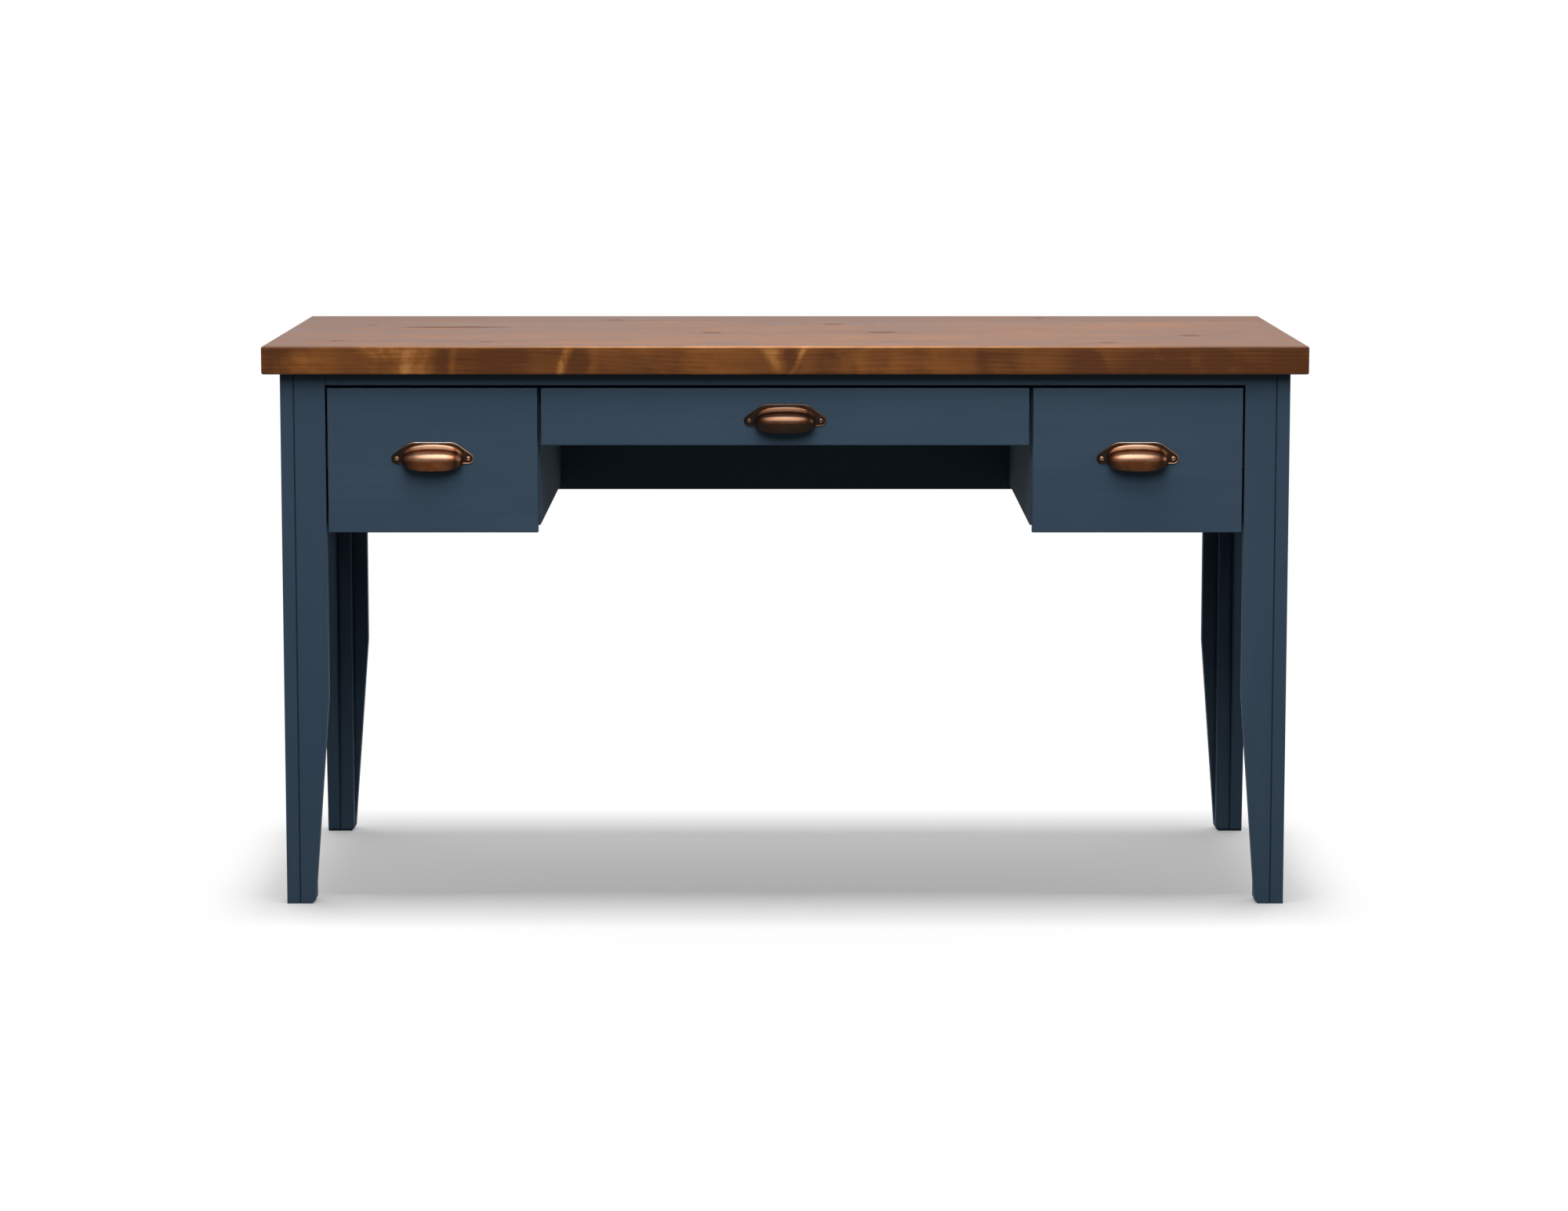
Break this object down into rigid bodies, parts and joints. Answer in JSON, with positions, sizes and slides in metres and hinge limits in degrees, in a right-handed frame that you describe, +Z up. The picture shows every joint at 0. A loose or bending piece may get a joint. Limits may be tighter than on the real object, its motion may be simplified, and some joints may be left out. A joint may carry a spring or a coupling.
{
  "type": "writing desk",
  "caption": "Writing desk with a thick plank top, tapered legs, a wide kneehole and drawers with cup pulls on ball-bearing runners.",
  "frame": {"origin": "on the floor, under the middle of the top", "axes": "+X to the right as seen by someone standing in front of the drawers, +Y from the front to the back, +Z up"},
  "size_m": [1.4, 0.61, 0.762],
  "materials": {
    "stained_top": "brown stain under satin lacquer",
    "blue_paint": "slate blue satin paint on wood",
    "drawer_wood": "clear lacquered birch",
    "packing_wood": "bare planed pine",
    "aged_copper": "aged copper plate, rubbed bright on the high parts",
    "zinc_steel": "zinc plated sheet",
    "cage_steel": "polished balls in a plated cage",
    "zinc_screws": "zinc plated screws"
  },
  "bodies": {
    "carcass": {"top_board_1": "stained_top", "top_board_2": "stained_top", "top_board_3": "stained_top", "top_board_4": "stained_top", "top_board_5": "stained_top", "front_left_leg_face_board": "blue_paint", "front_left_leg_side_board": "blue_paint", "front_right_leg_face_board": "blue_paint", "front_right_leg_side_board": "blue_paint", "back_left_leg_face_board": "blue_paint", "back_left_leg_side_board": "blue_paint", "back_right_leg_face_board": "blue_paint", "back_right_leg_side_board": "blue_paint", "leg_corner_blocks": "blue_paint", "front_rail": "blue_paint", "back_apron": "blue_paint", "left_side_apron": "blue_paint", "right_side_apron": "blue_paint", "left_divider": "blue_paint", "right_divider": "blue_paint", "left_bay_floor": "blue_paint", "right_bay_floor": "blue_paint", "runner_packers": "packing_wood", "dowels": "drawer_wood", "top_cleats": "packing_wood", "top_screws": "zinc_screws", "case_runner_screws": "zinc_screws", "left_drawer_case_runners": "zinc_steel", "centre_drawer_case_runners": "zinc_steel", "right_drawer_case_runners": "zinc_steel"},
    "left_drawer": {"left_drawer_front": "blue_paint", "left_drawer_left_side": "drawer_wood", "left_drawer_right_side": "drawer_wood", "left_drawer_back": "drawer_wood", "left_drawer_bottom": "drawer_wood", "left_drawer_cup_pull": "aged_copper", "left_drawer_pull_screws": "aged_copper", "left_drawer_box_runners": "zinc_steel", "left_drawer_box_runner_screws": "zinc_screws"},
    "left_ball_cages": {"left_drawer_ball_cages": "cage_steel"},
    "centre_drawer": {"centre_drawer_front": "blue_paint", "centre_drawer_left_side": "drawer_wood", "centre_drawer_right_side": "drawer_wood", "centre_drawer_back": "drawer_wood", "centre_drawer_bottom": "drawer_wood", "centre_drawer_cup_pull": "aged_copper", "centre_drawer_pull_screws": "aged_copper", "centre_drawer_box_runners": "zinc_steel", "centre_drawer_box_runner_screws": "zinc_screws"},
    "centre_ball_cages": {"centre_drawer_ball_cages": "cage_steel"},
    "right_drawer": {"right_drawer_front": "blue_paint", "right_drawer_left_side": "drawer_wood", "right_drawer_right_side": "drawer_wood", "right_drawer_back": "drawer_wood", "right_drawer_bottom": "drawer_wood", "right_drawer_cup_pull": "aged_copper", "right_drawer_pull_screws": "aged_copper", "right_drawer_box_runners": "zinc_steel", "right_drawer_box_runner_screws": "zinc_screws"},
    "right_ball_cages": {"right_drawer_ball_cages": "cage_steel"}
  },
  "joints": [
    {"name": "left_drawer_slide", "type": "slide", "parent": "carcass", "child": "left_drawer", "axis": [0, -1, 0], "range_m": [0, 0.375]},
    {"name": "left_cage_slide", "type": "slide", "parent": "carcass", "child": "left_ball_cages", "axis": [0, -1, 0], "range_m": [0, 0.1876]},
    {"name": "centre_drawer_slide", "type": "slide", "parent": "carcass", "child": "centre_drawer", "axis": [0, -1, 0], "range_m": [0, 0.375]},
    {"name": "centre_cage_slide", "type": "slide", "parent": "carcass", "child": "centre_ball_cages", "axis": [0, -1, 0], "range_m": [0, 0.1876]},
    {"name": "right_drawer_slide", "type": "slide", "parent": "carcass", "child": "right_drawer", "axis": [0, -1, 0], "range_m": [0, 0.375]},
    {"name": "right_cage_slide", "type": "slide", "parent": "carcass", "child": "right_ball_cages", "axis": [0, -1, 0], "range_m": [0, 0.1876]}
  ],
  "couplings": [
    {"joint": "left_cage_slide", "follows": "left_drawer_slide", "ratio": 0.5},
    {"joint": "centre_cage_slide", "follows": "centre_drawer_slide", "ratio": 0.5},
    {"joint": "right_cage_slide", "follows": "right_drawer_slide", "ratio": 0.5}
  ]
}
